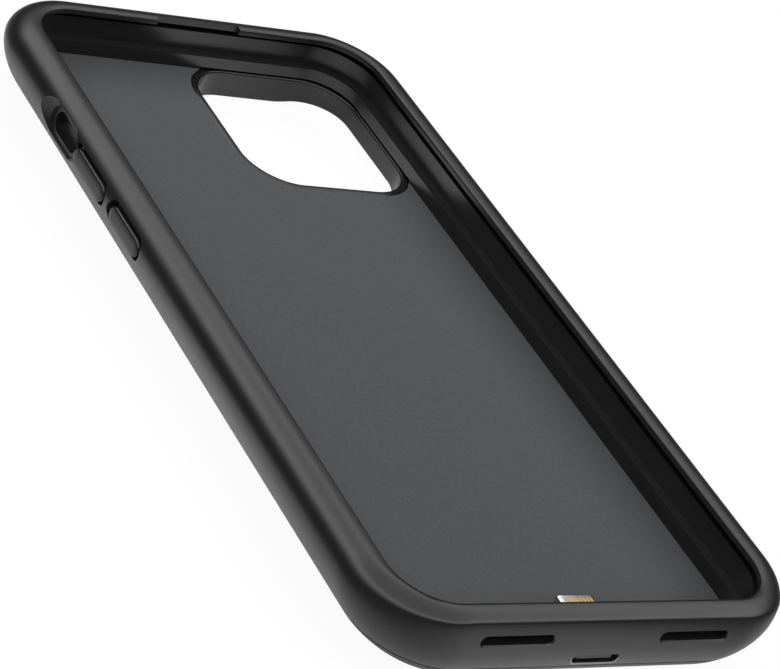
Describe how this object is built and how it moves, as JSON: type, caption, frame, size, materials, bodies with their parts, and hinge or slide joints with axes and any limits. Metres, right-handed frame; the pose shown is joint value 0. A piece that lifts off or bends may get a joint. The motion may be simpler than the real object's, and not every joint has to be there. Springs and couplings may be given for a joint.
{
  "type": "battery phone case",
  "caption": "Slim battery case for a flat-sided phone: soft raised-lip frame, hard back, camera window, lined pocket with plug, charging port, sound slots and push buttons.",
  "frame": {"origin": "centre of the footprint, on the surface that the back rests on", "axes": "+Z out of the screen side, +Y towards the phone's top edge, +X to the right of someone looking at the screen"},
  "size_m": [0.0778, 0.1518, 0.015],
  "materials": {
    "frame_tpu": "soft-touch matte, moulded",
    "cover_plastic": "soft-touch matte, moulded",
    "tray_plastic": "fine moulded grain",
    "lining": "short-pile microfibre",
    "surround_plastic": "satin, moulded",
    "cell_foil": "laminated foil pouch",
    "foam_tape": "foam",
    "board_green": "solder mask",
    "nickel": "nickel strip",
    "wire_insulation": "silicone sleeve",
    "chip_black": "epoxy package",
    "capacitor_tan": "ceramic",
    "ferrite_grey": "pressed ferrite",
    "shield_steel": "tin-plated sheet",
    "flex_amber": "polyimide film",
    "plug_steel": "fine satin",
    "gold": "gold plating",
    "collar_plastic": "moulded",
    "port_steel": "drawn steel, satin",
    "tongue_plastic": "moulded",
    "button_plastic": "soft-touch matte",
    "strip_rubber": "silicone sheet",
    "status_plastic": "satin, moulded",
    "switch_steel": "stamped",
    "led_resin": "resin",
    "light_pipe_clear": "clear polycarbonate",
    "screw_steel": "machined"
  },
  "bodies": {
    "case": {"side_frame": "frame_tpu", "back_cover": "cover_plastic", "inner_tray": "tray_plastic", "soft_lining": "lining", "camera_surround": "surround_plastic", "battery_cell": "cell_foil", "battery_tape": "foam_tape", "cell_guard_board": "board_green", "cell_tabs": "nickel", "battery_leads": "wire_insulation", "main_board": "board_green", "charge_controller": "chip_black", "boost_controller": "chip_black", "board_capacitors": "capacitor_tan", "power_inductor": "ferrite_grey", "shield_can": "shield_steel", "connector_board": "board_green", "flex_ribbon": "flex_amber", "phone_plug": "plug_steel", "plug_contacts": "gold", "plug_collar": "collar_plastic", "charge_port_shell": "port_steel", "charge_port_tongue": "tongue_plastic", "volume_strip": "strip_rubber", "side_button_strip": "strip_rubber", "status_switch": "switch_steel", "status_leds": "led_resin", "light_pipe": "light_pipe_clear", "tray_screws": "screw_steel"},
    "volume_up": {"volume_up_button": "button_plastic"},
    "volume_down": {"volume_down_button": "button_plastic"},
    "side_key": {"side_button": "button_plastic"},
    "status_key": {"status_button": "status_plastic"}
  },
  "joints": [
    {"name": "volume_up_press", "type": "slide", "parent": "case", "child": "volume_up", "axis": [1, 0, 0], "range_m": [0, 0.00035], "stiffness_N_per_m": 1500},
    {"name": "volume_down_press", "type": "slide", "parent": "case", "child": "volume_down", "axis": [1, 0, 0], "range_m": [0, 0.00035], "stiffness_N_per_m": 1500},
    {"name": "side_press", "type": "slide", "parent": "case", "child": "side_key", "axis": [-1, 0, 0], "range_m": [0, 0.00035], "stiffness_N_per_m": 1500},
    {"name": "status_press", "type": "slide", "parent": "case", "child": "status_key", "axis": [0, 0, 1], "range_m": [0, 0.0004], "stiffness_N_per_m": 1500}
  ]
}
